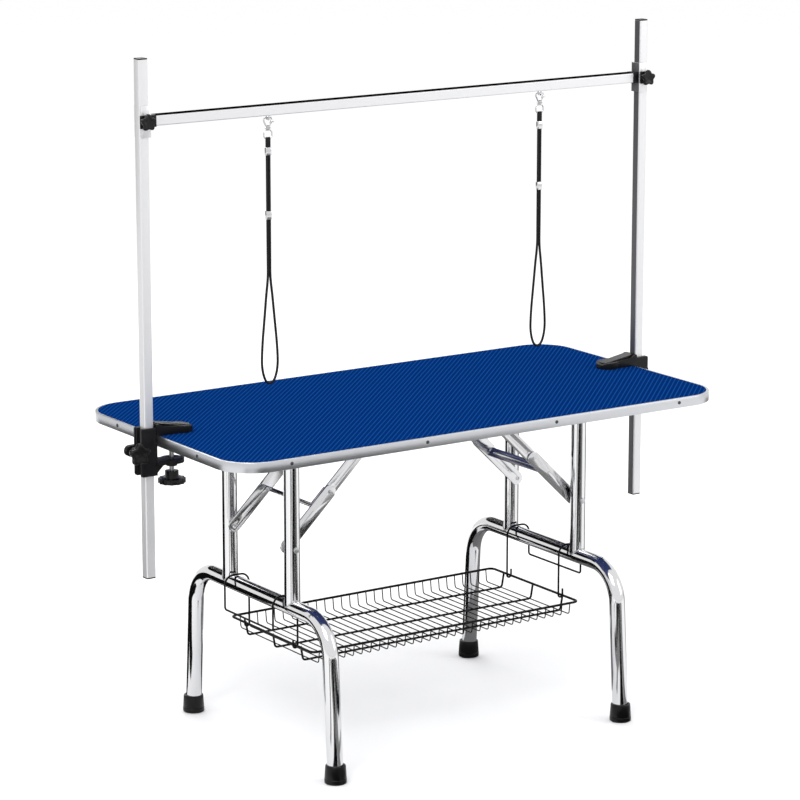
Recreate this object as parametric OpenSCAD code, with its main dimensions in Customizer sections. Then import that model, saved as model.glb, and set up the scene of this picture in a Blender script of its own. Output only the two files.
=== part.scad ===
// Folding pet grooming table: ribbed top on two hinged tube frames, wire basket, overhead rail on two
// clamped posts, two restraint nooses. Origin on the floor under the middle of the top, +Z up, millimetres.

/* [Tabletop] */
// Length of the top along X
top_length = 1168; // [1100:1:1220]
// Depth of the top along Y
top_depth = 610; // [600:1:640]
// Height of the edge band's upper lip above the floor
top_height = 673; // [670:1:676]
// Height of the aluminium edge band
band_height = 20; // [18:1:22]
// Corner radius of the top seen from above
corner_radius = 80; // [60:1:95]

/* [Leg frames] */
// Distance of each leg frame from the middle of the top
frame_x = 350; // [345:1:355]
// Outer diameter of the leg tube
tube_d = 32; // [30:0.5:32]
// Wall of the leg tube
tube_wall = 1.5; // [1:0.1:2.5]
// Height of the horizontal bar's axis
bar_z = 318; // [314:1:322]
// Half the distance between the two uprights of a frame
upright_y = 118; // [117:1:122]
// Radius of the bend between bar and leg, on the tube's axis
bend_radius = 76; // [70:1:80]
// Outward lean of each leg in degrees
leg_lean = 3.8; // [2:0.1:5]

/* [Braces] */
// Distance from the leg hinge down to the brace's lower pivot
brace_drop = 199; // [197:1:201]
// Distance of the brace's upper pivot from the middle of the top
brace_top_x = 142; // [140:1:144]
// Pivot to pivot length of the lower link
lower_link = 139.7; // [139:0.1:140]
// Width of the links
link_width = 28; // [24:1:28]

/* [Basket] */
// Half the length of the basket rim
basket_half_x = 327.3; // [327:0.1:327.6]
// Half the width of the basket rim
basket_half_y = 155; // [140:1:160]
// Height of the rim wire's axis
rim_z = 230; // [228:0.5:231]
// Number of thin wires across the basket
cross_wires = 31; // [21:2:35]

/* [Posts and rail] */
// Distance of each post's axis from the middle of the top
post_x = 598.6; // [598.6:0.1:599]
// Post axis position along Y
post_y = 12; // [0:1:14]
// Width of the square post tube
post_width = 20; // [19:0.5:20]
// Length of a post tube without its end caps
post_length = 1015; // [900:5:1015]
// Height of the rail's axis
rail_z = 1287; // [1280:1:1290]

/* [Nooses] */
// Place of the left noose along the rail
left_noose_x = -317; // [-480:1:-120]
// Place of the right noose along the rail
right_noose_x = 338; // [120:1:480]
// Diameter of the noose cord
cord_d = 5; // [4.5:0.1:5.2]

/* [Hidden] */
$fn = 48;
gap = 0.4;                                   // running gap between sliding or folding pieces
board_bottom = top_height - band_height + 1;
board_top = top_height - 2;
mat_top = top_height + 0.5;
hinge_z = top_height - 36;                   // axis of the leg hinges
tube_r = tube_d / 2;
bend_y = 181;                                // where the bar ends and the bend starts
bend_end_y = bend_y + bend_radius * cos(leg_lean);
bend_end_z = bar_z - bend_radius + bend_radius * sin(leg_lean);
foot_y = bend_end_y + tan(leg_lean) * bend_end_z;
foot_height = 36;
hinge_pin_r = 4;
brace_pin_r = 3.5;
pin_gap = 0.06;
link_t = 3;
lower_y = upright_y - tube_r - 1.8;          // outer face of the lower links
yoke_y = lower_y - link_t - gap;             // outer face of the yoke arms
bracket_y = yoke_y - link_t - gap;           // outer face of the brace brackets
low_pivot = [-frame_x, hinge_z - brace_drop];
high_pivot = [-brace_top_x, hinge_z + 1];
brace_span = norm(high_pivot - low_pivot);
brace_dir = (high_pivot - low_pivot) / brace_span;
brace_angle = atan2(brace_dir[1], brace_dir[0]);
yoke_tail = 40;                              // how far the yoke runs past the knee
post_r = post_width / 2;
post_bottom = 390;
sleeve_h = 61;
clamp_z0 = 595;
clamp_z1 = 690;
clamp_out = 617;                             // outer face of the clamp socket
clamp_in = 584.6;                            // inner face of the clamp socket, beside the edge band
screw_x = 544;                               // clamp screw axis
screw_r = 4.75;
jaw_half_y = 24;
knob_z = 645;
knob_x = 630;                                // axis of the post knob, across the two ears of the socket
ear_gap = 12;                                // slit of the split socket
eye_z = 1268;                                // lowest wire axis of an eye
hook_z = 1271.5;                             // wire axis of a snap hook's top
swivel_z = 1250;                             // underside of a snap hook's base
ring_low_z = 1231;                           // lowest wire axis of a swivel ring
ferrule_z0 = 1198;
ferrule_z1 = 1214;
slider_z0 = 1071.5;
slider_z1 = 1088;
strand_x = cord_d / 2 + 0.15;                // half the distance between the two strands

// ---------- helpers ----------

// Shapes are drawn for the left side and mirrored for the right one
module on_side(side) {
    if (side == "right") mirror([1, 0, 0]) children();
    else children();
}

// Both directions of Y
module both_y() {
    children();
    mirror([0, 1, 0]) children();
}

module rounded_rect(w, d, r) {
    square([w - 2 * r, d], center = true);
    square([w, d - 2 * r], center = true);
    for (x = [-1, 1], y = [-1, 1]) translate([x * (w / 2 - r), y * (d / 2 - r)]) circle(r);
}

module slab(w, d, r, z0, z1) {
    translate([0, 0, z0]) linear_extrude(z1 - z0) rounded_rect(w, d, r);
}

// Round bar from p to q
module rod(p, q, r) {
    v = q - p;
    translate(p) rotate([0, acos(v[2] / norm(v)), atan2(v[1], v[0])]) cylinder(h = norm(v), r = r);
}

function unit(v) = v / norm(v);

// Heading of the piece of route that leaves point i; a closed route goes on from its last point
function leg_dir(points, i) = unit(points[(i + 1) % len(points)] - points[i]);

// Normal of the mitre at point i
function mitre(points, i, closed) =
    let (n = len(points))
    !closed && i == 0 ? leg_dir(points, 0)
    : !closed && i == n - 1 ? leg_dir(points, n - 2)
    : unit(leg_dir(points, (i + n - 1) % n) + leg_dir(points, i));

// Ring carried along direction d to the plane through p with normal n
function carried(ring, d, p, n) = [for (q = ring) q + d * (((p - q) * n) / (d * n))];

// Bent wire through a list of points, mitred at each bend
module wire(points, r, sides = 10, closed = false) {
    n = len(points);
    d = leg_dir(points, 0);
    u = unit(cross(d, abs(d[2]) < 0.9 ? [0, 0, 1] : [0, 1, 0]));
    w = cross(d, u);
    start = [for (k = [0:sides - 1]) let (a = 360 * (k + 0.5) / sides)
        points[0] + r * cos(a) * u + r * sin(a) * w];
    rings = [for (i = 0, c = carried(start, d, points[0], mitre(points, 0, closed)); i < n;
                  i = i + 1,
                  c = i < n ? carried(c, leg_dir(points, i - 1), points[i], mitre(points, i, closed)) : c) c];
    verts = [for (c = rings) each c];
    walls = [for (i = [0:closed ? n - 1 : n - 2], k = [0:sides - 1])
        let (a = i * sides, b = ((i + 1) % n) * sides, m = (k + 1) % sides) [a + k, b + k, b + m, a + m]];
    ends = closed ? [] : [[for (k = [0:sides - 1]) k], [for (k = [sides - 1:-1:0]) (n - 1) * sides + k]];
    polyhedron(verts, concat(walls, ends));
}

// Upright plate lying in an XZ plane, drawn in 2D, from y0 to y1
module plate_xz(y0, y1) {
    translate([0, y1, 0]) rotate([90, 0, 0]) linear_extrude(y1 - y0) children();
}

// Round bar along Y through an XZ point
module bar_y(p, r, y0, y1) {
    translate([p[0], y0, p[1]]) rotate([-90, 0, 0]) cylinder(h = y1 - y0, r = r);
}

// Straight link outline between two XZ points with round ends
module link_outline(p, q, w) {
    a = atan2(q[1] - p[1], q[0] - p[0]);
    polygon(concat([for (i = [0:20]) q + w / 2 * [cos(a - 90 + 9 * i), sin(a - 90 + 9 * i)]],
                   [for (i = [0:20]) p + w / 2 * [cos(a + 90 + 9 * i), sin(a + 90 + 9 * i)]]));
}

module square_tube_2d(w, wall, r) {
    difference() {
        rounded_rect(w, w, r);
        rounded_rect(w - 2 * wall, w - 2 * wall, r - wall + 0.5);
    }
}

// Star knob with five lobes, front face down at z = 0
module star_knob(r, t) {
    linear_extrude(t) {
        circle(r * 0.68);
        for (i = [0:4]) rotate(90 + i * 72) translate([r * 0.72, 0]) circle(r * 0.28);
        for (i = [0:4]) rotate(90 + i * 72) translate([r * 0.36, 0])
            square([r * 0.72, r * 0.56], center = true);
    }
    translate([0, 0, t]) cylinder(h = 4, r1 = r * 0.5, r2 = r * 0.4, $fn = 48);
}

// ---------- tabletop ----------

module tabletop_board() {
    color("tan") slab(top_length - 4, top_depth - 4, corner_radius - 2, board_bottom, board_top);
}

module mat() {
    color("royalblue")
        slab(top_length - 12, top_depth - 12, corner_radius - 6, board_top, mat_top);
}

// C-shaped edging: an outer wall with a lip over the board's top and under its bottom
module edge_band() {
    color("silver") difference() {
        slab(top_length, top_depth, corner_radius, top_height - band_height, top_height);
        slab(top_length - 4, top_depth - 4, corner_radius - 2, board_bottom, board_top);
        slab(top_length - 12, top_depth - 12, corner_radius - 6, board_top - 1, top_height + 1);
        slab(top_length - 20, top_depth - 20, corner_radius - 10, top_height - band_height - 1,
             board_bottom + 1);
    }
}

// Domed screw head on the band, pointing along +Z before it is turned
module band_screw() {
    difference() {
        rotate_extrude() polygon([[0, 0], [3.6, 0], [3.3, 0.9], [2, 1.6], [0, 1.8]]);
        translate([0, 0, 1.7]) cube([5, 0.8, 1.6], center = true);
        translate([0, 0, 1.7]) cube([0.8, 5, 1.6], center = true);
    }
}

module band_screws() {
    screw_z = top_height - 9;
    color("dimgray") {
        both_y() for (x = [-465, -155, 155, 465])
            translate([x, -top_depth / 2, screw_z]) rotate([90, 0, 0]) band_screw();
        for (side = ["left", "right"]) on_side(side) for (y = [-155, 155])
            translate([-top_length / 2, y, screw_z]) rotate([0, -90, 0]) band_screw();
    }
}

// ---------- brackets and hinge pins under the top ----------

// One cheek of a leg hinge: a plate beside the tube and a foot screwed to the board
module hinge_cheek(y0, y1, foot_y0, foot_y1) {
    difference() {
        union() {
            plate_xz(y0, y1) {
                translate([-frame_x, hinge_z]) circle(14);
                translate([-frame_x - 14, hinge_z]) square([28, board_bottom - hinge_z]);
            }
            translate([-frame_x - 14, foot_y0, board_bottom - 2.5]) cube([28, foot_y1 - foot_y0, 2.5]);
        }
        bar_y([-frame_x, hinge_z], hinge_pin_r + 0.02, y0 - 1, y1 + 1);
        for (x = [-8, 8])
            translate([-frame_x + x, (foot_y0 + foot_y1) / 2 + sign(y0 - upright_y) * 3, board_bottom - 4])
                cylinder(h = 5, r = 2.1);
    }
}

module leg_brackets() {
    outer0 = upright_y + tube_r + 0.5;
    inner1 = upright_y - tube_r - 0.5;
    color("silver") for (side = ["left", "right"]) on_side(side) both_y() {
        hinge_cheek(outer0, outer0 + 3, outer0, outer0 + 20);
        hinge_cheek(inner1 - 3, inner1, inner1 - 20, inner1);
    }
}

module brace_brackets() {
    color("silver") for (side = ["left", "right"]) on_side(side) both_y() difference() {
        union() {
            plate_xz(bracket_y - 3, bracket_y) {
                translate(high_pivot) circle(11);
                translate(high_pivot + [-11, 0]) square([22, board_bottom - high_pivot[1]]);
            }
            translate([high_pivot[0] - 11, bracket_y - 20, board_bottom - 2.5]) cube([22, 20, 2.5]);
        }
        bar_y(high_pivot, brace_pin_r + 0.02, bracket_y - 5, bracket_y + 5);
        translate([high_pivot[0], bracket_y - 12, board_bottom - 4]) cylinder(h = 5, r = 2.1);
    }
}

// Leg hinge pins through both cheeks, and brace pins through bracket and yoke arm
module hinge_pins() {
    outer1 = upright_y + tube_r + 3.5;
    inner0 = upright_y - tube_r - 3.5;
    color("gainsboro") for (side = ["left", "right"]) on_side(side) both_y() {
        bar_y([-frame_x, hinge_z], hinge_pin_r, inner0, outer1);
        bar_y([-frame_x, hinge_z], 6.5, outer1, outer1 + 2);
        bar_y(high_pivot, brace_pin_r, bracket_y - 3, yoke_y - 0.5);
        bar_y(high_pivot, 5.5, bracket_y - 5, bracket_y - 3);
    }
}

// ---------- leg frames ----------

module tube_section(r_out, r_in) {
    difference() {
        circle(r_out);
        circle(r_in);
    }
}

// Half of the frame's axis from the middle of the bar to the foot, seen along X
half_axis = concat([[20, bar_z]],
                   [for (i = [0:8]) let (a = (90 - leg_lean) * i / 8)
                       [bend_y + bend_radius * sin(a), bar_z - bend_radius + bend_radius * cos(a)]],
                   [[foot_y - 5 * tan(leg_lean), 5]]);

// U-shaped tube: bar across the table, a bend and a splayed leg at each end
module leg_frame(side) {
    axis = concat([for (i = [len(half_axis) - 1:-1:0]) [-frame_x, -half_axis[i][0], half_axis[i][1]]],
                  [for (p = half_axis) [-frame_x, p[0], p[1]]]);
    color("gainsboro") on_side(side) wire(axis, tube_r, 32);
}

module uprights(side) {
    color("gainsboro") on_side(side) both_y() difference() {
        translate([-frame_x, upright_y, bar_z]) linear_extrude(hinge_z + 4 - bar_z)
            tube_section(tube_r, tube_r - tube_wall);
        bar_y([-frame_x, bar_z], tube_r - 0.2, 90, 150);
        bar_y([-frame_x, hinge_z], hinge_pin_r + pin_gap, 90, 150);
        bar_y(low_pivot, brace_pin_r + pin_gap, 90, 150);
    }
}

module feet(side) {
    color("black") on_side(side) both_y() difference() {
        translate([-frame_x, foot_y, 0]) rotate_extrude($fn = 64)
            polygon([[0, 0], [21, 0], [22.2, 1.2], [22.2, 9], [21.4, 10], [21.9, 11], [20.4, 33],
                     [19.2, foot_height], [0, foot_height]]);
        translate([-frame_x, bend_end_y, bend_end_z]) rotate([180 + leg_lean, 0, 0])
            cylinder(h = (bend_end_z - 5) / cos(leg_lean), r = tube_r);
    }
}

// ---------- braces ----------

// Point on the brace's line, s from the lower pivot and across from the middle
function on_brace(s, across) = low_pivot + s * brace_dir + across * [-brace_dir[1], brace_dir[0]];

module lower_braces(side) {
    color("silver") on_side(side) both_y() difference() {
        union() {
            plate_xz(lower_y - link_t, lower_y) link_outline(low_pivot, on_brace(lower_link, 0), link_width);
            plate_xz(lower_y, lower_y + 0.9) link_outline(on_brace(33, 0), on_brace(86, 0), 8);
        }
        plate_xz(lower_y - link_t - 1, lower_y - link_t + 0.8)
            link_outline(on_brace(33, 0), on_brace(86, 0), 6.4);
        bar_y(low_pivot, brace_pin_r + 0.02, 80, 120);
    }
}

// Pivot rivets that turn in the uprights, and the heads of the knee rivets
module brace_rivets(side) {
    color("gray") on_side(side) both_y() {
        bar_y(low_pivot, brace_pin_r, lower_y - link_t + 0.1, upright_y + tube_r + 0.3);
        bar_y(low_pivot, 6, upright_y + tube_r + 0.3, upright_y + tube_r + 2.3);
        bar_y(on_brace(lower_link, 0), 3.6, lower_y, lower_y + 1.3);
    }
}

// Two arms and the cross strip that joins them behind the knees, one bent piece
module brace_yoke(side) {
    knee = on_brace(lower_link, 0);
    tail = on_brace(lower_link - yoke_tail, 0);
    color("silver") on_side(side) {
        both_y() difference() {
            union() {
                plate_xz(yoke_y - link_t, yoke_y) {
                    link_outline(knee, high_pivot, 26);
                    translate(tail) rotate(brace_angle) translate([-1, -13]) square([yoke_tail + 1, 28.5]);
                }
                plate_xz(yoke_y - link_t - 1, yoke_y - link_t)
                    link_outline(on_brace(lower_link + 22, 0), on_brace(brace_span - 26, 0), 9);
            }
            plate_xz(yoke_y - 1, yoke_y + 1)
                link_outline(on_brace(lower_link + 22, 0), on_brace(brace_span - 26, 0), 7.4);
            bar_y(high_pivot, brace_pin_r + pin_gap, 80, 120);
        }
        translate([tail[0], 0, tail[1]]) rotate([0, -brace_angle, 0]) {
            cube([2, 2 * (yoke_y - link_t), 20], center = true);
            translate([1, 0, 0]) rotate([-90, 0, 0]) cylinder(h = 160, r = 2.5, center = true);
        }
    }
}

// ---------- basket and its hangers ----------

hanger_r = 2;
hanger_y = 92;
hook_x = frame_x - 28;                       // inner shank, on the basket's side of the bar
outer_x = frame_x + 29;                      // outer side of a hanger
hook_low_z = rim_z - 5.2;

// One bent wire: two hooks on the basket's side and a U on the outer side, hung over the bar
module hanger(side) {
    over_z = bar_z + tube_r + hanger_r + 0.4;
    half = [[-hook_x - 10.5, hanger_y, rim_z + 12], [-hook_x - 10.5, hanger_y, hook_low_z + 3],
            [-hook_x - 7.5, hanger_y, hook_low_z], [-hook_x - 3, hanger_y, hook_low_z],
            [-hook_x, hanger_y, hook_low_z + 3], [-hook_x, hanger_y, over_z - 9],
            [-hook_x - 9, hanger_y, over_z], [-outer_x + 9, hanger_y, over_z],
            [-outer_x, hanger_y, over_z - 9], [-outer_x, hanger_y, 268]];
    color("black") on_side(side)
        wire(concat(half, [for (i = [len(half) - 1:-1:0]) [half[i][0], -half[i][1], half[i][2]]]), hanger_r);
}

rim_r = 2.5;
floor_r = 2.2;
thin_r = 1.2;
floor_z = 201;

module basket_rim() {
    c = 9;
    x = basket_half_x;
    y = basket_half_y;
    k = 2.6;
    color("black") wire([[-x, 0, rim_z], [-x, y - c, rim_z], [k - x, y - k, rim_z], [c - x, y, rim_z],
                         [x - c, y, rim_z], [x - k, y - k, rim_z], [x, y - c, rim_z], [x, c - y, rim_z],
                         [x - k, k - y, rim_z], [x - c, -y, rim_z], [c - x, -y, rim_z],
                         [k - x, k - y, rim_z], [-x, c - y, rim_z]], rim_r, 10, true);
}

module basket_long_wires() {
    end_x = basket_half_x - rim_r - floor_r;
    color("black") for (y = [-105, 0, 105])
        wire([[-end_x, y, rim_z], [-end_x + 4, y, floor_z + 4], [-end_x + 9, y, floor_z],
              [end_x - 9, y, floor_z], [end_x - 4, y, floor_z + 4], [end_x, y, rim_z]], floor_r);
}

side_y = basket_half_y - rim_r - thin_r;
low_z = floor_z + floor_r + thin_r;

module each_cross_wire() {
    pitch = 2 * (basket_half_x - 19) / (cross_wires - 1);
    for (i = [0:cross_wires - 1]) translate([(i - (cross_wires - 1) / 2) * pitch, 0, 0]) children();
}

// Thin wires across the basket's floor
module basket_cross_wires() {
    color("black") each_cross_wire() wire([[0, 4.9 - side_y, low_z], [0, side_y - 4.9, low_z]], thin_r, 8);
}

// The same wires where they rise to the rim at the front and the back
module basket_side_wires() {
    color("black") each_cross_wire() both_y()
        wire([[0, -side_y, rim_z + 1], [0, 3.5 - side_y, low_z - thin_r]], thin_r, 8);
}

// ---------- posts and clamps ----------

module post(side) {
    color("lightgray") on_side(side) translate([-post_x, post_y, post_bottom]) linear_extrude(post_length)
        square_tube_2d(post_width, 1.5, 2.5);
}

module post_cap() {
    slab(post_width, post_width, 2.5, 0, 2.5);
    slab(post_width - 3.4, post_width - 3.4, 1.2, -12, 0);
}

module post_caps(side) {
    color("black") on_side(side) translate([-post_x, post_y, 0]) {
        translate([0, 0, post_bottom + post_length]) post_cap();
        translate([0, 0, post_bottom]) mirror([0, 0, 1]) post_cap();
    }
}

// Plan outline of a jaw: a strip from the socket with a round end over the board
module jaw_plan(end_x) {
    translate([-end_x - jaw_half_y, post_y]) circle(jaw_half_y, $fn = 96);
    translate([-clamp_in - 2, post_y - 19]) square([clamp_in + 2 - end_x - jaw_half_y, 38]);
}

// Socket round the post with an upper jaw over the mat and a lower jaw that takes the screw
module clamp(side) {
    socket_w = clamp_out - clamp_in;
    jaw_z = mat_top + 0.1;
    color([0.12, 0.12, 0.13]) on_side(side) difference() {
        union() {
            translate([-clamp_out, post_y - 16.4, clamp_z0]) cube([socket_w, 32.8, clamp_z1 - clamp_z0]);
            intersection() {
                translate([0, 0, jaw_z]) linear_extrude(40) jaw_plan(499);
                plate_xz(-30, 60) polygon([[-590, jaw_z], [-500, jaw_z], [-499, jaw_z + 3], [-501, 682],
                                           [-507, 686], [-570, 691], [-581, 697], [-590, 697]]);
            }
            plate_xz(post_y - 16.4, post_y + 16.4) link_outline([-612, knob_z], [-knob_x, knob_z], 22);
            translate([0, 0, 614]) linear_extrude(8) jaw_plan(519);
            translate([-screw_x, post_y, 607]) cylinder(h = 8, r = 11);
            plate_xz(post_y - 8, post_y + 8)
                polygon([[-590, 615], [-590, clamp_z0 + 1], [-582, clamp_z0 + 1], [-562, 615]]);
        }
        translate([-post_x, post_y, clamp_z0 - 1]) linear_extrude(200)
            square(post_width + 2 * gap, center = true);
        translate([-screw_x, post_y, 600]) cylinder(h = 30, r = screw_r + pin_gap);
        translate([-knob_x - 20, post_y - ear_gap / 2, clamp_z0 - 1])
            cube([knob_x + 20 - 605, ear_gap, clamp_z1 - clamp_z0 + 2]);
        translate([-knob_x, post_y - 20, knob_z]) rotate([-90, 0, 0]) cylinder(h = 40, r = 4 + pin_gap);
    }
}

// Star knob and screw that pull the two ears of the split socket together. The two clamps are one and the
// same part, turned half way round, so the left knob faces the front and the right one the back.
module post_knob(side) {
    way = side == "left" ? 1 : -1;
    color([0.1, 0.1, 0.1]) on_side(side)
        translate([-knob_x, post_y - way * 33.4, knob_z]) rotate([-90 * way, 0, 0]) {
            rotate(way > 0 ? 180 : 0) star_knob(21, 11.5);
            cylinder(h = 51, r = 4);
        }
}

module clamp_pad(side) {
    color("black") on_side(side) translate([-screw_x, post_y, 648]) difference() {
        rotate_extrude() polygon([[0, 0], [8.5, 0], [11, 2], [11, 5.5], [10.5, 6 - 0.3], [0, 6 - 0.3]]);
        translate([0, 0, -1]) cylinder(h = 3.5, r = screw_r + pin_gap);
    }
}

module clamp_screw(side) {
    color("dimgray") on_side(side) translate([-screw_x, post_y, 573]) cylinder(h = 650.2 - 573, r = screw_r);
}

module handwheel(side) {
    color([0.1, 0.1, 0.1]) on_side(side) translate([-screw_x, post_y, 572]) difference() {
        union() {
            cylinder(h = 10, r = 25, $fn = 96);
            for (i = [0:11]) rotate(i * 30) translate([24, 0, 0]) cylinder(h = 10, r = 3.2);
            cylinder(h = 24.5, r = 13.5);
        }
        translate([0, 0, 1]) cylinder(h = 30, r = screw_r + 0.02);
    }
}

// ---------- rail ----------

rail_end = post_x - post_r - gap - 3;        // where the rail meets the sleeve

module rail() {
    color("lightgray") difference() {
        translate([-rail_end, post_y, rail_z]) rotate([90, 0, 90]) linear_extrude(2 * rail_end)
            square_tube_2d(post_width, 1.5, 2);
        for (x = [left_noose_x, right_noose_x], y = [-5, 5])
            translate([x, post_y + y, rail_z - 14]) cylinder(h = 8, r = 1.3, $fn = 24);
    }
}

module rail_strip() {
    length = 2 * (rail_end - 13.2);
    color("black") translate([-length / 2, post_y - 9.5, rail_z + post_r]) cube([length, 19, 1.2]);
}

// Channel at each rail end that slides on the post, open on its outer side
module rail_sleeves() {
    color("lightgray") for (side = ["left", "right"]) on_side(side) difference() {
        translate([-post_x - 8, post_y - post_r - gap - 2.4, rail_z - sleeve_h / 2])
            cube([post_x + 8 - rail_end, 2 * (post_r + gap + 2.4), sleeve_h]);
        translate([-post_x - 9, post_y - post_r - gap, rail_z - sleeve_h])
            cube([9 + post_r + gap, 2 * (post_r + gap), 2 * sleeve_h]);
        bar_y([-post_x, rail_z], 3 + pin_gap, post_y - 20, post_y);
    }
}

// Black collar on each rail end and the boss that the knob's screw runs in
module rail_end_blocks() {
    front = post_y - post_r - gap - 2.4;
    color("black") for (side = ["left", "right"]) on_side(side) {
        difference() {
            translate([-rail_end + 0.1, post_y - 11.5, rail_z - 11.5]) cube([13, 23, 23]);
            translate([-rail_end - 1, post_y - post_r, rail_z - post_r]) cube([15, 20, 20]);
        }
        difference() {
            translate([-post_x - 11, front - 5, rail_z - 12.5]) cube([22, 5, 25]);
            bar_y([-post_x, rail_z], 3 + pin_gap, front - 6, front + 1);
        }
    }
}

module rail_knob(side) {
    front = post_y - post_r - gap - 2.4 - 5 - 0.4;
    color([0.1, 0.1, 0.1]) on_side(side) translate([-post_x, front - 13, rail_z]) rotate([-90, 0, 0]) {
        star_knob(16.5, 9);
        cylinder(h = 20.5, r = 3);
    }
}

// Wire eyes under the rail for the snap hooks, with a round bar where a hook hangs
module noose_eyes() {
    color("silver") for (x = [left_noose_x, right_noose_x]) {
        bar_y([x, eye_z], 1.3, post_y - 3.2, post_y + 3.2);
        wire([[x, post_y - 5, rail_z - 7], [x, post_y - 5, eye_z + 2], [x, post_y - 3, eye_z],
              [x, post_y + 3, eye_z], [x, post_y + 5, eye_z + 2], [x, post_y + 5, rail_z - 7]], 1.2);
    }
}

// ---------- nooses ----------

module at_noose(side) {
    translate([side == "left" ? left_noose_x : right_noose_x, post_y, 0]) children();
}

latch_low = [4.6, 0, 1256];
latch_dir = [0.36, 0, 0.933];

// Hook with its wire loop at the top and a drilled base for the swivel
module snap_hook(side) {
    color("silver") at_noose(side) {
        difference() {
            translate([0, 0, swivel_z]) cylinder(h = 6.5, r = 5.6);
            translate([0, 0, swivel_z - 1]) cylinder(h = 6, r = 1.8 + pin_gap);
        }
        wire([[-4, 0, swivel_z + 5.5], [-9.5, 0, hook_z - 5], [-9, 0, hook_z - 2], [-6, 0, hook_z],
              [6.5, 0, hook_z], [9.6, 0, hook_z - 1.8]], 1.5);
        rod(latch_low - 1.5 * latch_dir, latch_low + 6.5 * latch_dir, 1.1);
    }
}

// Spring sleeve with a thumb stud; it slides down its rod to open the hook
module snap_latch(side) {
    base = latch_low + 4.7 * latch_dir;
    color("gray") at_noose(side) {
        difference() {
            rod(base, base + 8 * latch_dir, 2);
            rod(base - latch_dir, base + 6 * latch_dir, 1.1 + pin_gap);
        }
        rod(base + 3 * latch_dir + [1.7, 0, 0], base + 3 * latch_dir + [6, 0, 0], 1);
    }
}

// Six-sided ring with a stem that turns in the hook's base
module swivel_ring(side) {
    top = 1248;
    color("silver") at_noose(side) {
        wire([[-5, 0, top], [5, 0, top], [9.2, 0, top - 5], [9.2, 0, ring_low_z + 4.5],
              [5.6, 0, ring_low_z], [-5.6, 0, ring_low_z], [-9.2, 0, ring_low_z + 4.5],
              [-9.2, 0, top - 5]], 1.2, 10, true);
        translate([0, 0, top - 1]) cylinder(h = 6, r = 1.8);
    }
}

// Folded webbing round the ring's lowest wire, held by the ferrule
module noose_strap(side) {
    r_in = 1.2 + 0.1;
    r_out = r_in + 1.7;
    color([0.08, 0.08, 0.08]) at_noose(side) translate([-4.2, 0, 0]) rotate([90, 0, 90]) linear_extrude(8.4)
        difference() {
            union() {
                translate([0, ring_low_z]) circle(r_out);
                translate([-r_out, ferrule_z1]) square([2 * r_out, ring_low_z - ferrule_z1]);
            }
            translate([0, ring_low_z]) circle(r_in);
            translate([-0.15, ferrule_z1 - 1]) square([0.3, ring_low_z - ferrule_z1]);
        }
}

module ferrule(side) {
    color("silver") at_noose(side) translate([0, 0, ferrule_z0]) linear_extrude(ferrule_z1 - ferrule_z0)
        rounded_rect(12.6, 7, 2.2);
}

// Slider with one slot for both strands
module noose_slider(side) {
    color("silver") at_noose(side) translate([0, 0, slider_z0]) linear_extrude(slider_z1 - slider_z0)
        difference() {
            rounded_rect(12.6, 7.4, 2.4);
            square([2 * strand_x, cord_d + 0.5], center = true);
            for (x = [-strand_x, strand_x]) translate([x, 0]) circle(cord_d / 2 + 0.25);
        }
}

// Half of the cord's route, seen along Y: x from the noose's middle, and height
half_route = [[strand_x, ferrule_z0], [strand_x, 1190], [strand_x, 1150], [strand_x, 1100],
              [strand_x, 1050], [strand_x, 1000], [strand_x, 965], [4, 945], [7, 920], [10, 890],
              [13, 860], [16, 830], [18, 800], [18, 780], [15, 762], [9, 748]];
route = concat(half_route, [[0, 743]],
               [for (i = [len(half_route) - 1:-1:0]) [-half_route[i][0], half_route[i][1]]]);

module noose_cord(side) {
    color([0.08, 0.08, 0.08]) at_noose(side) wire([for (p = route) [p[0], 0, p[1]]], cord_d / 2, 8);
}

// ---------- nodes ----------

tabletop_board();
mat();
edge_band();
band_screws();
leg_brackets();
brace_brackets();
hinge_pins();
clamp("left");  // left_clamp
clamp("right");  // right_clamp
leg_frame("left");  // left_leg_frame
leg_frame("right");  // right_leg_frame
uprights("left");  // left_uprights
uprights("right");  // right_uprights
feet("left");  // left_feet
feet("right");  // right_feet
lower_braces("left");  // left_lower_braces
lower_braces("right");  // right_lower_braces
brace_rivets("left");  // left_brace_rivets
brace_rivets("right");  // right_brace_rivets
brace_yoke("left");  // left_brace_yoke
brace_yoke("right");  // right_brace_yoke
hanger("left");  // left_hanger
hanger("right");  // right_hanger
basket_rim();
basket_long_wires();
basket_cross_wires();
basket_side_wires();
post("left");  // left_post
post("right");  // right_post
post_caps("left");  // left_post_caps
post_caps("right");  // right_post_caps
rail();
rail_strip();
rail_sleeves();
rail_end_blocks();
noose_eyes();
rail_knob("left");  // left_rail_knob
rail_knob("right");  // right_rail_knob
post_knob("left");  // left_post_knob
post_knob("right");  // right_post_knob
clamp_pad("left");  // left_clamp_pad
clamp_pad("right");  // right_clamp_pad
clamp_screw("left");  // left_clamp_screw
clamp_screw("right");  // right_clamp_screw
handwheel("left");  // left_handwheel
handwheel("right");  // right_handwheel
snap_hook("left");  // left_snap_hook
snap_hook("right");  // right_snap_hook
snap_latch("left");  // left_snap_latch
snap_latch("right");  // right_snap_latch
swivel_ring("left");  // left_swivel_ring
swivel_ring("right");  // right_swivel_ring
noose_strap("left");  // left_noose_strap
noose_strap("right");  // right_noose_strap
ferrule("left");  // left_ferrule
ferrule("right");  // right_ferrule
noose_cord("left");  // left_noose_cord
noose_cord("right");  // right_noose_cord
noose_slider("left");  // left_noose_slider
noose_slider("right");  // right_noose_slider
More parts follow.
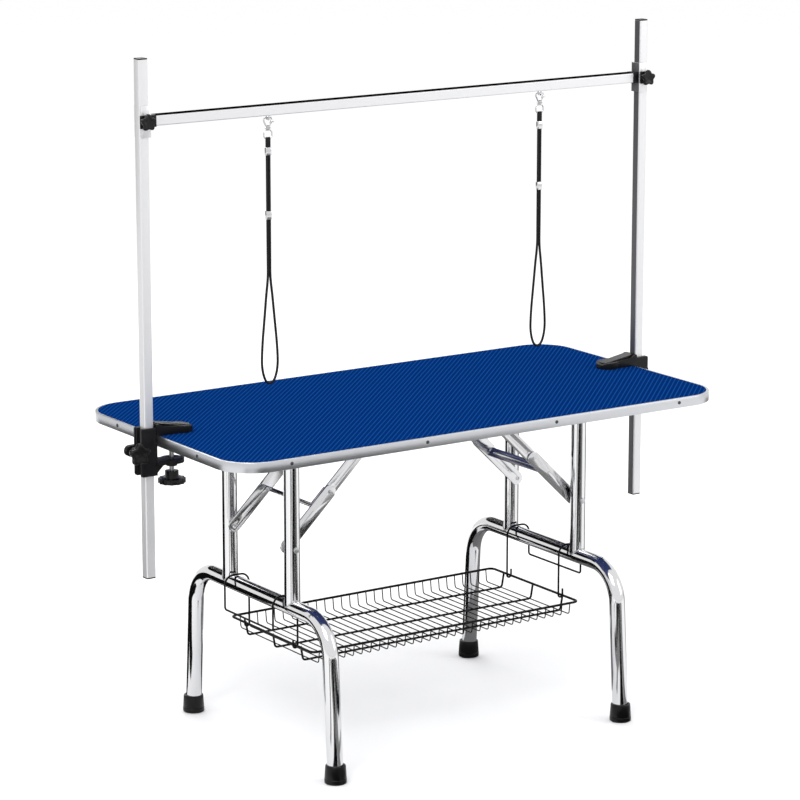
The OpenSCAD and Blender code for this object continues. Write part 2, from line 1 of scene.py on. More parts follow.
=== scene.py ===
"""Looks of the folding grooming table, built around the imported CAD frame. Metres, same frame as the CAD."""
import math
import bmesh
import bpy
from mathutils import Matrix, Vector


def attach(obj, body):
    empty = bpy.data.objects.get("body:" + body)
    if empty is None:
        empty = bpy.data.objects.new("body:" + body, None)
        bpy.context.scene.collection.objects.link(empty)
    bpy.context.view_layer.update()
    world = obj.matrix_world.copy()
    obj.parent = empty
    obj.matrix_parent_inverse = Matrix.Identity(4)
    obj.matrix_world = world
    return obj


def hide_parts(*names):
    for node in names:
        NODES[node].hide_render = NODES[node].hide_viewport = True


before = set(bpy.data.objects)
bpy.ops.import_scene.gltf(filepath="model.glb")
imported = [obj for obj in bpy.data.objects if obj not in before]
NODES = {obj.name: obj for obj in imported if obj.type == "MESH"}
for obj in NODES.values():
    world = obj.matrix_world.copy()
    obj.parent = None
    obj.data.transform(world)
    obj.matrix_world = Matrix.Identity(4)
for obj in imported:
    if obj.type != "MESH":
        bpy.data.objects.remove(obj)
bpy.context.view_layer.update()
SCENE = bpy.context.scene
SIDES = (("left", -1), ("right", 1))

# ---------- camera ----------
LENS_MM = 152.02
SENSOR_MM = 36.0
CAMERA_AT = (-3.744655, -5.554986, 2.184876)
CAMERA_PITCH = 12.734                            # degrees below the horizon
CAMERA_TURN = -33.877                            # degrees from +Y
cam_data = bpy.data.cameras.new("camera")
cam_data.lens = LENS_MM
cam_data.sensor_width = SENSOR_MM
cam = bpy.data.objects.new("camera", cam_data)
cam.location = CAMERA_AT
cam.rotation_euler = (math.radians(90 - CAMERA_PITCH), 0.0, math.radians(CAMERA_TURN))
SCENE.collection.objects.link(cam)
SCENE.camera = cam

# ---------- sizes shared with the CAD frame ----------
POST_X = 0.5986
POST_Y = 0.012
POST_HALF = 0.010
NOOSE_X = {"left": -0.317, "right": 0.338}
CORD_R = 0.0025
STRAND_X = 0.00265                               # half the distance between the two strands of a noose
FERRULE_Z0 = 1.198
LEG_X = 0.350
LEG_R = 0.016
BAR_Z = 0.318                                    # axis of the bar between the two legs
UPRIGHT_Y = 0.118
FOOT_Y = 0.27306
BASKET_X, BASKET_Y, RIM_Z = 0.3273, 0.155, 0.230
FLOOR_Z = 0.201                                  # axis of the long wires under the basket's floor
KNOB_X, KNOB_Z = 0.630, 0.645                    # post knobs
KNOB_OUT = 0.0334                                # from the post's axis to a post knob's outer face
RAIL_KNOB_Y, RAIL_KNOB_Z = -0.0192, 1.287
CLAMP_OUT = 0.617                                # outer face of a clamp socket
JAW_TIP_X = 0.5175


# ---------- mesh helpers ----------
def new_object(name, verts, faces, mat, body, smooth=35.0):
    """Object from points and faces, with its faces turned outwards."""
    mesh = bpy.data.meshes.new(name)
    mesh.from_pydata([tuple(v) for v in verts], [], faces)
    bm = bmesh.new()
    bm.from_mesh(mesh)
    bmesh.ops.recalc_face_normals(bm, faces=bm.faces)
    bm.to_mesh(mesh)
    bm.free()
    return finish_mesh(name, mesh, mat, body, smooth)


def finish_mesh(name, mesh, mat, body, smooth=35.0):
    """Puts a mesh in the scene, smooth up to an angle, on its body and with its colour slot."""
    for p in mesh.polygons:
        p.use_smooth = True
    mesh.set_sharp_from_angle(angle=math.radians(smooth))
    obj = bpy.data.objects.new(name, mesh)
    SCENE.collection.objects.link(obj)
    obj.data.materials.append(MATS[mat])
    if body:
        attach(obj, body)
    return obj


def filleted(points, radius, steps=8, closed=False):
    """Points of a route whose corners are rounded with arcs of one radius, or of one for each point."""
    pts = [Vector(p) for p in points]
    n = len(pts)
    radii = radius if isinstance(radius, list) else [radius] * n
    out = []
    for i, p in enumerate(pts):
        if not closed and i in (0, n - 1):
            out.append(p)
            continue
        a, b = pts[i - 1], pts[(i + 1) % n]
        u, v = (a - p).normalized(), (b - p).normalized()
        angle = u.angle(v)
        if angle > math.radians(178):
            out.append(p)
            continue
        reach = min(radii[i] / math.tan(angle / 2), (a - p).length * 0.49, (b - p).length * 0.49)
        r = reach * math.tan(angle / 2)
        centre = p + (u + v).normalized() * (r / math.sin(angle / 2))
        s, e = p + u * reach - centre, p + v * reach - centre
        turn = s.angle(e)
        for k in range(steps + 1):
            t = k / steps
            w = (math.sin((1 - t) * turn) * s + math.sin(t * turn) * e) / math.sin(turn)
            out.append(centre + w)
    return out


def tube(name, points, radius, mat, body, sides=20, closed=False):
    """Round wire swept along points, with rings carried without twist."""
    pts = [Vector(p) for p in points]
    n = len(pts)
    dirs = []
    for i in range(n):
        a = pts[i - 1] if (i or closed) else pts[0]
        b = pts[(i + 1) % n] if (i < n - 1 or closed) else pts[-1]
        dirs.append((b - a).normalized())
    ref = Vector((0, 1, 0)) if abs(dirs[0].y) < 0.9 else Vector((1, 0, 0))
    u = (ref - dirs[0] * ref.dot(dirs[0])).normalized()
    verts, faces = [], []
    for i, d in enumerate(dirs):
        u = (u - d * u.dot(d)).normalized()
        w = d.cross(u)
        for k in range(sides):
            a = 2 * math.pi * k / sides
            verts.append(pts[i] + radius * (math.cos(a) * u + math.sin(a) * w))
    for i in range(n if closed else n - 1):
        j = (i + 1) % n
        for k in range(sides):
            m = (k + 1) % sides
            faces.append((i * sides + k, i * sides + m, j * sides + m, j * sides + k))
    if not closed:
        faces.append(tuple(range(sides)))
        faces.append(tuple((n - 1) * sides + k for k in range(sides)))
    return new_object(name, verts, faces, mat, body, 50)


def lathe(name, profile, origin, axis, mat, body, steps=64, smooth=40.0):
    """Profile of (radius, distance) turned about axis through origin."""
    o, d = Vector(origin), Vector(axis).normalized()
    ref = Vector((0, 0, 1)) if abs(d.z) < 0.9 else Vector((1, 0, 0))
    u = (ref - d * ref.dot(d)).normalized()
    w = d.cross(u)
    verts, faces = [], []
    for r, h in profile:
        for k in range(steps):
            a = 2 * math.pi * k / steps
            verts.append(o + d * h + max(r, 1e-5) * (math.cos(a) * u + math.sin(a) * w))
    for i in range(len(profile) - 1):
        for k in range(steps):
            m = (k + 1) % steps
            faces.append((i * steps + k, i * steps + m, (i + 1) * steps + m, (i + 1) * steps + k))
    faces.append(tuple(range(steps)))
    faces.append(tuple((len(profile) - 1) * steps + k for k in range(steps)))
    return new_object(name, verts, faces, mat, body, smooth)


def block(name, low, high, bevel, mat, body):
    """Box from low to high with rounded edges."""
    mesh = bpy.data.meshes.new(name)
    bm = bmesh.new()
    bmesh.ops.create_cube(bm, size=1.0)
    for v in bm.verts:
        v.co = Vector([low[i] if v.co[i] < 0 else high[i] for i in range(3)])
    bmesh.ops.bevel(bm, geom=bm.edges[:], offset=bevel, segments=3, profile=0.5, affect="EDGES")
    bm.to_mesh(mesh)
    bm.free()
    return finish_mesh(name, mesh, mat, body, 40)


def softened(node, width, mat, body, name=None, segments=2, angle=25.0):
    """A copy of a CAD piece with its sharp edges rounded, shown in its place."""
    name = name or node + "_look"
    mesh = bpy.data.meshes.new(name)
    bm = bmesh.new()
    bm.from_mesh(NODES[node].data)
    bmesh.ops.remove_doubles(bm, verts=bm.verts, dist=1e-6)
    bmesh.ops.dissolve_limit(bm, angle_limit=math.radians(0.6), verts=bm.verts, edges=bm.edges)
    sharp = [e for e in bm.edges if len(e.link_faces) == 2 and e.calc_face_angle(0) > math.radians(angle)]
    bmesh.ops.bevel(bm, geom=sharp, offset=width, segments=segments, profile=0.5, affect="EDGES",
                    clamp_overlap=True)
    bm.to_mesh(mesh)
    bm.free()
    obj = finish_mesh(name, mesh, mat, body, 40)
    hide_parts(node)
    return obj


def dress(node, mat):
    """Gives a CAD piece that is shown as it is its material."""
    mesh = NODES[node].data
    mesh.materials.clear()
    mesh.materials.append(MATS[mat])


# ---------- materials ----------
MATS = {}


def material(name, color, rough, metal=0.0, specular=0.5):
    """A plain material and its shader node."""
    m = bpy.data.materials.new(name)
    m.use_nodes = True
    shader = m.node_tree.nodes["Principled BSDF"]
    shader.inputs["Base Color"].default_value = (*color, 1)
    shader.inputs["Roughness"].default_value = rough
    shader.inputs["Metallic"].default_value = metal
    shader.inputs["Specular IOR Level"].default_value = specular
    MATS[name] = m
    return m, shader


def noise_bump(m, shader, scale, strength, stretch=(1, 1, 1), distance=0.0005):
    """Fine unevenness of a surface; gives back the noise node."""
    tree = m.node_tree
    coords = tree.nodes.new("ShaderNodeTexCoord")
    mapping = tree.nodes.new("ShaderNodeMapping")
    mapping.inputs["Scale"].default_value = stretch
    noise = tree.nodes.new("ShaderNodeTexNoise")
    noise.inputs["Scale"].default_value = scale
    noise.inputs["Detail"].default_value = 3.0
    bump = tree.nodes.new("ShaderNodeBump")
    bump.inputs["Strength"].default_value = strength
    bump.inputs["Distance"].default_value = distance
    tree.links.new(coords.outputs["Object"], mapping.inputs["Vector"])
    tree.links.new(mapping.outputs["Vector"], noise.inputs["Vector"])
    tree.links.new(noise.outputs["Fac"], bump.inputs["Height"])
    tree.links.new(bump.outputs["Normal"], shader.inputs["Normal"])
    return noise


def rough_noise(m, shader, noise, low, high):
    """Lets the roughness follow the noise between low and high."""
    tree = m.node_tree
    span = tree.nodes.new("ShaderNodeMapRange")
    span.inputs["To Min"].default_value = low
    span.inputs["To Max"].default_value = high
    tree.links.new(noise.outputs["Fac"], span.inputs["Value"])
    tree.links.new(span.outputs["Result"], shader.inputs["Roughness"])


# name, colour, roughness, metal, specular level, noise scale, bump strength
PLAIN_LOOKS = (
    ("chrome", (0.66, 0.66, 0.67), 0.08, 1.0, 0.5, 18, 0.03),
    ("bright_strip", (0.60, 0.60, 0.61), 0.16, 1.0, 0.5, 60, 0.05),
    ("bright_small", (0.58, 0.58, 0.59), 0.14, 1.0, 0.5, 120, 0.06),
    ("bracket_steel", (0.5, 0.51, 0.52), 0.35, 1.0, 0.5, 150, 0.1),
    ("thread_steel", (0.3, 0.3, 0.31), 0.3, 1.0, 0.5, 400, 0.05),
    ("dark_screw", (0.05, 0.05, 0.055), 0.35, 0.6, 0.5, 400, 0.05),
    # the next look is painted shade: a darker colour for the post and sleeve faces that look at the table's
    # middle
    ("post_painted_shade", (0.10, 0.10, 0.105), 0.4, 0.6, 0.5, 220, 0.05),
    ("strip_black", (0.002, 0.002, 0.002), 0.6, 0.0, 0.0, 500, 0.05),
    ("gloss_plastic", (0.004, 0.004, 0.004), 0.25, 0.0, 0.22, 300, 0.03),
    ("black_wire", (0.002, 0.002, 0.002), 0.35, 0.0, 0.12, 500, 0.05),
)
for look_name, color, roughness, metal, specular, scale, strength in PLAIN_LOOKS:
    noise_bump(*material(look_name, color, roughness, metal, specular), scale, strength)

m, shader = material("board_wood", (0.012, 0.03, 0.15), 0.5)
noise_bump(m, shader, 40, 0.2, stretch=(1, 12, 1))
m, shader = material("black_rubber", (0.003, 0.003, 0.003), 0.35, specular=0.2)
noise_bump(m, shader, 600, 0.2, distance=0.0002)
m, shader = material("band_aluminium", (0.52, 0.53, 0.55), 0.3, 1.0)
rough_noise(m, shader, noise_bump(m, shader, 30, 0.06, stretch=(1, 1, 60)), 0.25, 0.38)
m, shader = material("post_grey", (0.64, 0.64, 0.65), 0.36, 0.6)
rough_noise(m, shader, noise_bump(m, shader, 220, 0.05), 0.3, 0.4)
m, shader = material("black_plastic", (0.004, 0.004, 0.005), 0.36, specular=0.16)
rough_noise(m, shader, noise_bump(m, shader, 900, 0.12, distance=0.0002), 0.34, 0.48)


def braid():
    """Black cord with a woven surface."""
    m, shader = material("cord_braid", (0.006, 0.006, 0.007), 0.62, specular=0.2)
    tree = m.node_tree
    coords = tree.nodes.new("ShaderNodeTexCoord")
    waves = []
    for turn in (0.6, -0.6):
        mapping = tree.nodes.new("ShaderNodeMapping")
        mapping.inputs["Rotation"].default_value = (0.3, turn, 0.2)
        wave = tree.nodes.new("ShaderNodeTexWave")
        wave.bands_direction = "Z"
        wave.inputs["Scale"].default_value = 130
        tree.links.new(coords.outputs["Object"], mapping.inputs["Vector"])
        tree.links.new(mapping.outputs["Vector"], wave.inputs["Vector"])
        waves.append(wave)
    weave = tree.nodes.new("ShaderNodeMath")
    weave.operation = "MULTIPLY"
    bump = tree.nodes.new("ShaderNodeBump")
    bump.inputs["Strength"].default_value = 0.6
    bump.inputs["Distance"].default_value = 0.0005
    tree.links.new(waves[0].outputs["Fac"], weave.inputs[0])
    tree.links.new(waves[1].outputs["Fac"], weave.inputs[1])
    tree.links.new(weave.outputs["Value"], bump.inputs["Height"])
    tree.links.new(bump.outputs["Normal"], shader.inputs["Normal"])


def ribbed():
    """Blue mat: fine diagonal ridges, with their crests painted lighter as a painted highlight."""
    pitch = 0.0088
    m, shader = material("mat_blue", (0.001, 0.022, 0.13), 0.6, specular=0.0)
    tree = m.node_tree
    coords = tree.nodes.new("ShaderNodeTexCoord")
    split = tree.nodes.new("ShaderNodeSeparateXYZ")
    across = tree.nodes.new("ShaderNodeMath")
    across.operation = "SUBTRACT"
    count = tree.nodes.new("ShaderNodeMath")
    count.operation = "MULTIPLY"
    count.inputs[1].default_value = 1 / (pitch * math.sqrt(2))
    phase = tree.nodes.new("ShaderNodeMath")
    phase.operation = "FRACT"
    crest = tree.nodes.new("ShaderNodeValToRGB")
    crest.color_ramp.elements[0].position = 0.0
    crest.color_ramp.elements[0].color = (0, 0, 0, 1)
    crest.color_ramp.elements[1].position = 0.5
    crest.color_ramp.elements[1].color = (1, 1, 1, 1)
    for place, level in ((0.36, 0), (0.64, 1), (0.78, 0)):
        stop = crest.color_ramp.elements.new(place)
        stop.color = (level, level, level, 1)
    # painted highlight: the ridge crests get a lighter blue where light would catch them
    crest_highlight_mix = tree.nodes.new("ShaderNodeMix")
    crest_highlight_mix.data_type = "RGBA"
    crest_highlight_mix.inputs["A"].default_value = (0.0008, 0.019, 0.115, 1)
    crest_highlight_mix.inputs["B"].default_value = (0.006, 0.055, 0.23, 1)
    bump = tree.nodes.new("ShaderNodeBump")
    bump.inputs["Strength"].default_value = 0.8
    bump.inputs["Distance"].default_value = 0.0012
    tree.links.new(coords.outputs["Object"], split.inputs["Vector"])
    tree.links.new(split.outputs["X"], across.inputs[0])
    tree.links.new(split.outputs["Y"], across.inputs[1])
    tree.links.new(across.outputs["Value"], count.inputs[0])
    tree.links.new(count.outputs["Value"], phase.inputs[0])
    tree.links.new(phase.outputs["Value"], crest.inputs["Fac"])
    tree.links.new(crest.outputs["Color"], crest_highlight_mix.inputs["Factor"])
    tree.links.new(crest_highlight_mix.outputs["Result"], shader.inputs["Base Color"])
    tree.links.new(crest.outputs["Color"], bump.inputs["Height"])
    tree.links.new(bump.outputs["Normal"], shader.inputs["Normal"])


braid()
ribbed()

# ---------- cords first: the two noose loops ----------
HALF = [(STRAND_X, FERRULE_Z0), (STRAND_X, 1.190), (STRAND_X, 1.150), (STRAND_X, 1.100), (STRAND_X, 1.050),
        (STRAND_X, 1.000), (STRAND_X, 0.965), (0.004, 0.945), (0.007, 0.920), (0.010, 0.890), (0.013, 0.860),
        (0.016, 0.830), (0.018, 0.800), (0.018, 0.780), (0.015, 0.762), (0.009, 0.748)]


def smooth_route(points, steps=6):
    """Catmull-Rom curve through points."""
    out = []
    n = len(points)
    for i in range(n - 1):
        p0, p1, p2, p3 = (points[max(i - 1, 0)], points[i], points[i + 1], points[min(i + 2, n - 1)])
        for k in range(steps):
            t = k / steps
            out.append(0.5 * ((2 * p1) + (p2 - p0) * t + (2 * p0 - 5 * p1 + 4 * p2 - p3) * t * t
                              + (3 * p1 - p0 - 3 * p2 + p3) * t ** 3))
    out.append(points[-1])
    return out


def noose(side):
    """Cord loop of one noose, with the strap, ferrule and slider that ride on it."""
    x0 = NOOSE_X[side]
    flat = HALF + [(0.0, 0.743)] + [(-x, z) for x, z in reversed(HALF)]
    route = smooth_route([Vector((x0 + x, POST_Y, z)) for x, z in flat])
    body = side + "_noose"
    cord = tube(side + "_cord", route, CORD_R, "cord_braid", body, 16)
    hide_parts(side + "_noose_cord")
    ferrule = softened(side + "_ferrule", 0.0008, "bright_small", body)
    strap = softened(side + "_noose_strap", 0.0004, "cord_braid", body)
    slider = softened(side + "_noose_slider", 0.0006, "bright_small", side + "_slider")


noose("left")
noose("right")


# ---------- snap hooks and swivels ----------
def hook_parts(side):
    """Snap hook, its thumb latch, and the swivel ring below it. Places are in millimetres."""
    x0 = NOOSE_X[side]

    def at(x, z, y=0.0):
        return Vector((x0 + x / 1000, POST_Y + y / 1000, z / 1000))
    body = side + "_hook"
    loop = filleted([at(-4, 1255.5), at(-9.5, 1266.5), at(-9, 1269.5), at(-6, 1271.5), at(6.5, 1271.5),
                     at(9.6, 1269.7)], 0.004, 6)
    hook = tube(side + "_hook_loop", loop, 0.0015, "bright_small", body, 16)
    lathe(side + "_hook_base",
          [(0.0019, 0), (0.0046, 0), (0.0056, 0.0008), (0.0056, 0.0026), (0.0044, 0.0034),
           (0.0044, 0.0058), (0.0036, 0.0066), (0.0019, 0.0066)],
          at(0, 1250), (0, 0, 1), "bright_small", body, 48)
    d = Vector((0.36, 0, 0.933))
    low = at(4.6, 1256)
    tube(side + "_hook_rod", [low - d * 0.0015, low + d * 0.0065], 0.0011, "bright_small", body, 12)
    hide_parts(side + "_snap_hook")
    base = low + d * 0.0047
    sleeve = lathe(side + "_latch_sleeve", [(0.00116, 0), (0.0017, 0), (0.002, 0.0004), (0.002, 0.0074),
                                            (0.0016, 0.008), (0.0004, 0.008)],
                   base, d, "bright_small", side + "_latch", 32)
    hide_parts(side + "_snap_latch")
    stud = base + d * 0.003
    tube(side + "_latch_stud", [stud + Vector((0.0017, 0, 0)), stud + Vector((0.0058, 0, 0))], 0.001,
         "bright_small", side + "_latch", 16)
    ring = filleted([at(-5, 1248), at(5, 1248), at(9.2, 1243), at(9.2, 1235.5), at(5.6, 1231),
                     at(-5.6, 1231), at(-9.2, 1235.5), at(-9.2, 1243)], 0.004, 6, True)
    wire = tube(side + "_swivel_wire", ring, 0.0012, "bright_small", side + "_noose", 16, True)
    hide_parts(side + "_swivel_ring")
    lathe(side + "_swivel_stem", [(0.0024, -0.0012), (0.0024, 0.0004), (0.0018, 0.001), (0.0018, 0.005),
                                  (0.0012, 0.006)],
          at(0, 1247.6), (0, 0, 1), "bright_small", side + "_noose", 32)


for side in ("left", "right"):
    hook_parts(side)


# ---------- legs ----------
def leg_parts(side, sg):
    """Leg frame of one side: bent tube, two welded uprights and two feet."""
    x = sg * LEG_X
    body = side + "_leg"
    lean = math.radians(3.8)
    bend_y, bend_r, bend_steps = 0.181, 0.076, 24
    cut_z = 0.005                                # the tube stops this far above the floor, inside the foot
    half = [(0.0, BAR_Z)]
    for i in range(bend_steps + 1):
        a = (math.pi / 2 - lean) * i / bend_steps
        half.append((bend_y + bend_r * math.sin(a), BAR_Z - bend_r + bend_r * math.cos(a)))
    y_end, z_end = half[-1]
    half.append((y_end + math.tan(lean) * (z_end - cut_z), cut_z))
    pts = [Vector((x, -y, z)) for y, z in reversed(half)] + [Vector((x, y, z)) for y, z in half[1:]]
    u_tube = tube(side + "_leg_tube", pts, LEG_R, "chrome", body, 48)
    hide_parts(side + "_leg_frame")
    for y, tag in ((-UPRIGHT_Y, "front"), (UPRIGHT_Y, "rear")):
        up = tube(side + "_upright_" + tag, [(x, y, BAR_Z), (x, y, 0.45), (x, y, 0.641)], LEG_R, "chrome",
                  body, 48)
        if tag == "front":
            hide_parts(side + "_uprights")
        weld_path(side, tag, x, y)
    for sy, tag in ((-1, "front"), (1, "rear")):
        profile = [(0.019, 0), (0.021, 0.0003), (0.0222, 0.0014), (0.0222, 0.0085), (0.0213, 0.0095),
                   (0.0213, 0.0105), (0.0219, 0.0115), (0.0204, 0.033), (0.0200, 0.0352), (0.0190, 0.036),
                   (0.0162, 0.036), (0.0160, 0.030)]
        foot = lathe(side + "_foot_" + tag, profile, (x, sy * FOOT_Y, 0), (0, 0, 1), "black_rubber", body,
                     64)
        if tag == "front":
            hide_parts(side + "_feet")


def weld_path(side, tag, x, y):
    """Thin weld bead where an upright meets the bar."""
    steps = 32
    reach, bar_r = 0.0162, 0.0164
    bead = []
    for k in range(steps):
        a = 2 * math.pi * k / steps
        dx, dy = reach * math.cos(a), reach * math.sin(a)
        bead.append(Vector((x + dx, y + dy, BAR_Z + math.sqrt(max(bar_r ** 2 - dx * dx, 0)) + 0.0004)))
    tube(side + "_weld_" + tag, bead, 0.0011, "bracket_steel", side + "_leg", 8, True)


for side, sg in SIDES:
    leg_parts(side, sg)
    softened(side + "_lower_braces", 0.0006, "bright_strip", side + "_lower_brace")
    softened(side + "_brace_yoke", 0.0006, "bright_strip", side + "_yoke")
    softened(side + "_brace_rivets", 0.0007, "bracket_steel", side + "_lower_brace")


# ---------- basket and hangers ----------
def basket_wire(name, points, bend, steps, radius, sides, closed=False):
    """One black wire of the basket, with rounded corners."""
    return tube(name, filleted(points, bend, steps, closed), radius, "black_wire", "basket", sides,
                closed)


rim = basket_wire("basket_rim_wire", [(-BASKET_X, -BASKET_Y, RIM_Z), (BASKET_X, -BASKET_Y, RIM_Z),
                                      (BASKET_X, BASKET_Y, RIM_Z), (-BASKET_X, BASKET_Y, RIM_Z)],
                  0.012, 8, 0.0025, 16, True)
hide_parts("basket_rim")
end_x = BASKET_X - 0.0047
for i, y in enumerate((-0.105, 0.0, 0.105)):
    wire = basket_wire("basket_long_%d" % i, [(-end_x, y, RIM_Z), (-end_x + 0.005, y, FLOOR_Z),
                                              (end_x - 0.005, y, FLOOR_Z), (end_x, y, RIM_Z)],
                       0.007, 6, 0.0022, 14)
    if i == 0:
        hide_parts("basket_long_wires")
CROSS_WIRES = 31
side_y = BASKET_Y - 0.0037
cross_z = FLOOR_Z + 0.0034
cross_top = RIM_Z + 0.001
for i in range(CROSS_WIRES):
    x = (i - (CROSS_WIRES - 1) / 2) * 2 * (BASKET_X - 0.019) / (CROSS_WIRES - 1)
    wire = basket_wire("basket_cross_%02d" % i, [(x, -side_y, cross_top), (x, -side_y + 0.0035, cross_z),
                                                 (x, side_y - 0.0035, cross_z), (x, side_y, cross_top)],
                       0.006, 5, 0.0012, 10)
    if i == 0:
        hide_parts("basket_cross_wires", "basket_side_wires")


def hanger(side, sg):
    """Bent wire that lies over the bar and holds the basket's rim."""
    y = 0.092
    inner, outer, tip = 0.322, 0.379, 0.3325
    over, low = 0.3364, 0.2248
    half = [(tip, y, 0.242), (tip, y, low), (inner, y, low), (inner, y, over), (outer, y, over),
            (outer, y, 0.268)]
    pts = half + [(x, -yy, z) for x, yy, z in reversed(half)]
    small_bend, bar_bend = 0.0055, 0.019
    turns = [small_bend if z < 0.3 else bar_bend for x, yy, z in pts]
    route = filleted([(sg * x, yy, z) for x, yy, z in pts], turns, 10)
    wire = tube(side + "_hanger_wire", route, 0.002, "black_wire", side + "_hanging_wire", 14)
    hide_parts(side + "_hanger")


for side, sg in SIDES:
    hanger(side, sg)

# ---------- top ----------
dress("tabletop_board", "board_wood")
dress("mat", "mat_blue")
softened("edge_band", 0.0005, "band_aluminium", "table", angle=40)
dress("band_screws", "dark_screw")
softened("leg_brackets", 0.0004, "bracket_steel", "table")
softened("brace_brackets", 0.0004, "bracket_steel", "table")
softened("hinge_pins", 0.0006, "bracket_steel", "table")

# ---------- posts, rail, clamps ----------
def paint_inner_shade(obj, sg, facing, limit):
    """Paints shade on the faces of obj that look at the table's middle, up to limit in X, by giving them the
    darker painted-shade material.
    """
    obj.data.materials.append(MATS["post_painted_shade"])
    for face in obj.data.polygons:
        way = sg or math.copysign(1.0, face.center.x)
        if face.normal.x * way < -facing and face.center.x * way < limit:
            face.material_index = 1


sleeves = softened("rail_sleeves", 0.0004, "post_grey", "crossbar")
# painted shade on the sleeves' faces that look at the table's middle
paint_inner_shade(sleeves, 0, 0.7, POST_X - POST_HALF - 0.0011)
softened("rail_end_blocks", 0.0008, "black_plastic", "crossbar")
softened("rail_strip", 0.0004, "strip_black", "crossbar")
dress("rail", "post_grey")
dress("noose_eyes", "bright_small")


def star(name, origin, axis, up, r, t, boss, body):
    """Star knob: five round lobes, a dished face and a shoulder behind. t is its thickness."""
    o, d, u = Vector(origin), Vector(axis).normalized(), Vector(up).normalized()
    w = d.cross(u)
    steps = 120

    def radius(a, rr):
        return rr * (0.865 + 0.135 * math.cos(5 * a))

    rings = [(0.30, 0.0012), (0.62, 0.0006), (0.86, 0.0), (0.95, 0.0005), (0.99, 0.0016), (1.0, 0.0035),
             (1.0, t - 0.003), (0.97, t - 0.001), (0.90, t), (0.55, t), (0.50, t + 0.001), (0.44, t + boss),
             (0.2, t + boss)]
    verts, faces = [], []
    for share, h in rings:
        for k in range(steps):
            a = 2 * math.pi * k / steps
            rr = radius(a, r * share) if share > 0.6 else r * share * 0.9
            verts.append(o + d * h + rr * (math.cos(a) * u + math.sin(a) * w))
    for i in range(len(rings) - 1):
        for k in range(steps):
            j = (k + 1) % steps
            faces.append((i * steps + k, i * steps + j, (i + 1) * steps + j, (i + 1) * steps + k))
    faces.append(tuple(range(steps)))
    faces.append(tuple((len(rings) - 1) * steps + k for k in range(steps)))
    return new_object(name, verts, faces, "gloss_plastic", body, 50)


def jaw_panel(side, sg):
    """Raised panel with a round tip on top of the upper jaw; it climbs to the socket."""
    half_width, steps = 0.013, 16
    root_x, low_z, tip_z, root_z = 0.5835, 0.683, 0.6868, 0.6985
    outline = []
    for q in range(steps + 1):
        t = math.pi / 2 + math.pi * q / steps
        outline.append((JAW_TIP_X - half_width * math.sin(t - math.pi / 2),
                        POST_Y + half_width * math.cos(t - math.pi / 2)))
    outline += [(root_x, POST_Y - half_width), (root_x, POST_Y + half_width)]
    bottom = [Vector((sg * x, y, low_z)) for x, y in outline]
    top = [Vector((sg * x, y, root_z if x == root_x else tip_z)) for x, y in outline]
    n = len(outline)
    walls = [(i, (i + 1) % n, n + (i + 1) % n, n + i) for i in range(n)]
    new_object(side + "_jaw_panel", bottom + top, [tuple(range(n)), tuple(range(n, 2 * n))] + walls,
               "gloss_plastic", "table", 30)


def clamp_parts(side, sg):
    """Clamp on the table's edge, with ribs on the socket, its screw, handwheel and pad, and the post knob."""
    rib_x = sorted((sg * (CLAMP_OUT - 0.0002), sg * (CLAMP_OUT + 0.0016)))
    for name, low_y in (("_clamp_rib_0", -0.0044), ("_clamp_rib_1", 0.0224)):
        block(side + name, (rib_x[0], low_y, 0.597), (rib_x[1], low_y + 0.006, 0.6885), 0.0007,
              "black_plastic", "table")
    softened(side + "_clamp", 0.0012, "black_plastic", "table", segments=3)
    softened(side + "_handwheel", 0.001, "gloss_plastic", side + "_screw")
    dress(side + "_clamp_screw", "thread_steel")
    softened(side + "_clamp_pad", 0.0006, "black_rubber", side + "_pad")
    jaw_panel(side, sg)
    knob_at = (sg * KNOB_X, POST_Y + sg * KNOB_OUT, KNOB_Z)
    knob = star(side + "_post_knob_look", knob_at, (0, -sg, 0), (0, 0, 1), 0.0225, 0.0115, 0.004,
                side + "_post_screw")
    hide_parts(side + "_post_knob")
    lathe(side + "_post_knob_screw", [(0.0036, 0.008), (0.004, 0.009), (0.004, 0.0506), (0.0034, 0.051)],
          knob_at, (0, -sg, 0), "thread_steel", side + "_post_screw", 32)


def mast_parts(side, sg):
    """Post with its caps, and the star knob that locks the rail on it."""
    post = softened(side + "_post", 0.0002, "post_grey", side + "_mast", segments=1)
    # painted shade on the post's face that looks at the table's middle
    paint_inner_shade(post, sg, 0.9, POST_X - POST_HALF + 0.0001)
    softened(side + "_post_caps", 0.0006, "black_plastic", side + "_mast")
    knob_at = (sg * POST_X, RAIL_KNOB_Y, RAIL_KNOB_Z)
    knob = star(side + "_rail_knob_look", knob_at, (0, 1, 0), (0, 0, 1), 0.0168, 0.009, 0.004,
                side + "_rail_screw")
    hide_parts(side + "_rail_knob")
    lathe(side + "_rail_knob_screw", [(0.0026, 0.008), (0.003, 0.009), (0.003, 0.0201), (0.0025, 0.0205)],
          knob_at, (0, 1, 0), "thread_steel", side + "_rail_screw", 32)


for side, sg in SIDES:
    mast_parts(side, sg)
    clamp_parts(side, sg)


# ---------- floor and light ----------
def stage_plane(name, corners, mat):
    """Flat piece of the set; not part of the object."""
    obj = new_object(name, corners, [(0, 1, 2, 3)], mat, None)
    return obj


def mirrored_only(obj):
    """Only reflections see this piece of the set."""
    obj.visible_camera = False
    obj.visible_shadow = False
    obj.visible_diffuse = False


def shade(name, x0, azimuth, half_width, near, far, mat):
    """Dark wedge on the floor around x0, so that the chrome tubes have something to mirror."""
    corners = []
    for r, turn in ((near, -1), (far, -1), (far, 1), (near, 1)):
        a = math.radians(azimuth + turn * half_width)
        corners.append((x0 + r * math.cos(a), r * math.sin(a), 0.0004))
    mirrored_only(stage_plane(name, corners, mat))


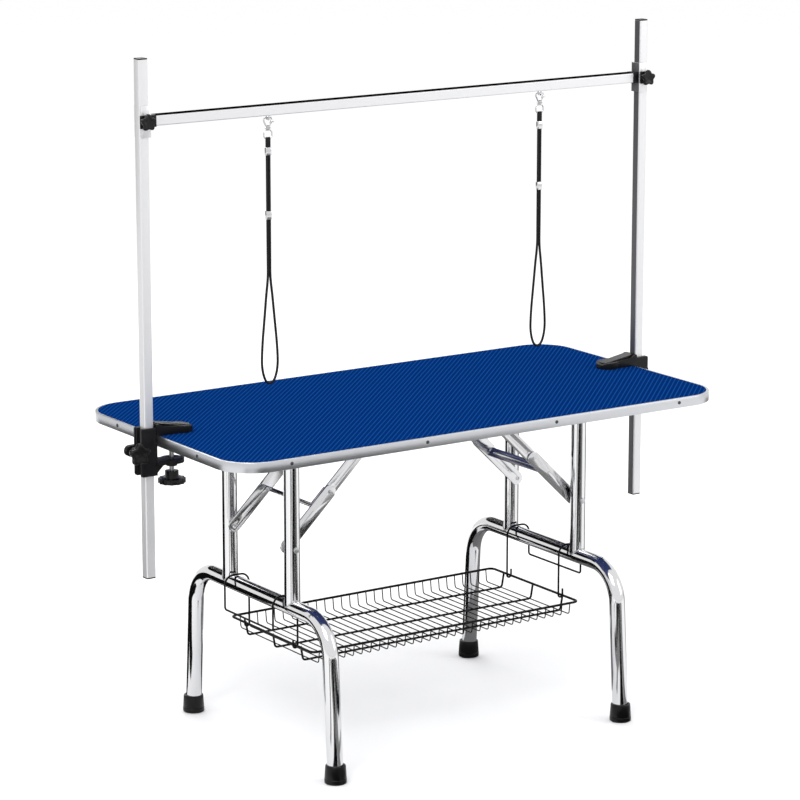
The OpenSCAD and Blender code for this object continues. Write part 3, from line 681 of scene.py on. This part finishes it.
def area(name, place, target, size, size_y, power):
    """Soft rectangular lamp aimed at target."""
    light = bpy.data.lights.new(name, "AREA")
    light.shape = "RECTANGLE"
    light.size = size
    light.size_y = size_y
    light.energy = power
    obj = bpy.data.objects.new(name, light)
    obj.location = place
    obj.rotation_euler = (Vector(target) - Vector(place)).to_track_quat("-Z", "Y").to_euler()
    SCENE.collection.objects.link(obj)


GROUND, GROUND_Z = 40, -0.0006
material("floor_white", (0.9, 0.9, 0.9), 0.9, specular=0.1)
material("card_black", (0.004, 0.004, 0.004), 0.95, specular=0.0)
material("card_grey", (0.2, 0.2, 0.2), 0.95, specular=0.0)
stage_plane("floor", [(-GROUND, -GROUND, GROUND_Z), (GROUND, -GROUND, GROUND_Z), (GROUND, GROUND, GROUND_Z),
                      (-GROUND, GROUND, GROUND_Z)], "floor_white")

# name, azimuth and half width in degrees, nearest and farthest edge, material
SHADES = (
    ("_shade_a", 139, 15, 0.3, 3.2, "card_black"),
    ("_shade_b", -96, 12, 0.3, 3.2, "card_black"),
    ("_shade_c", -74, 9, 0.3, 3.2, "card_grey"),
    ("_shade_d", -133, 5, 0.45, 3.2, "card_grey"),
    ("_shade_e", 12, 18, 0.45, 3.2, "card_grey"),
    ("_shade_f", 92, 24, 0.5, 1.3, "card_black"),
)
for side, sg in SIDES:
    for tag, azimuth, half_width, near, far, mat in SHADES:
        shade(side + tag, sg * 0.38, azimuth, half_width, near, far, mat)
mirrored_only(stage_plane("back_shade", [(-1.3, 1.3, 0.85), (1.3, 1.3, 0.85), (1.3, 1.3, 1.5),
                                         (-1.3, 1.3, 1.5)], "card_black"))

area("key", (-2.8, -2.6, 4.2), (0, 0, 0.6), 2.4, 2.4, 120)
area("fill", (3.6, -3.4, 2.4), (0, 0, 0.7), 2.0, 2.6, 40)
area("back", (0.8, 4.0, 3.2), (0, 0, 0.6), 3.0, 1.6, 60)
world = bpy.data.worlds.new("studio")
world.use_nodes = True
bg = world.node_tree.nodes["Background"]
bg.inputs["Color"].default_value = (1.0, 1.0, 1.0, 1)
bg.inputs["Strength"].default_value = 1.1
SCENE.world = world
SCENE.view_settings.view_transform = "Standard"
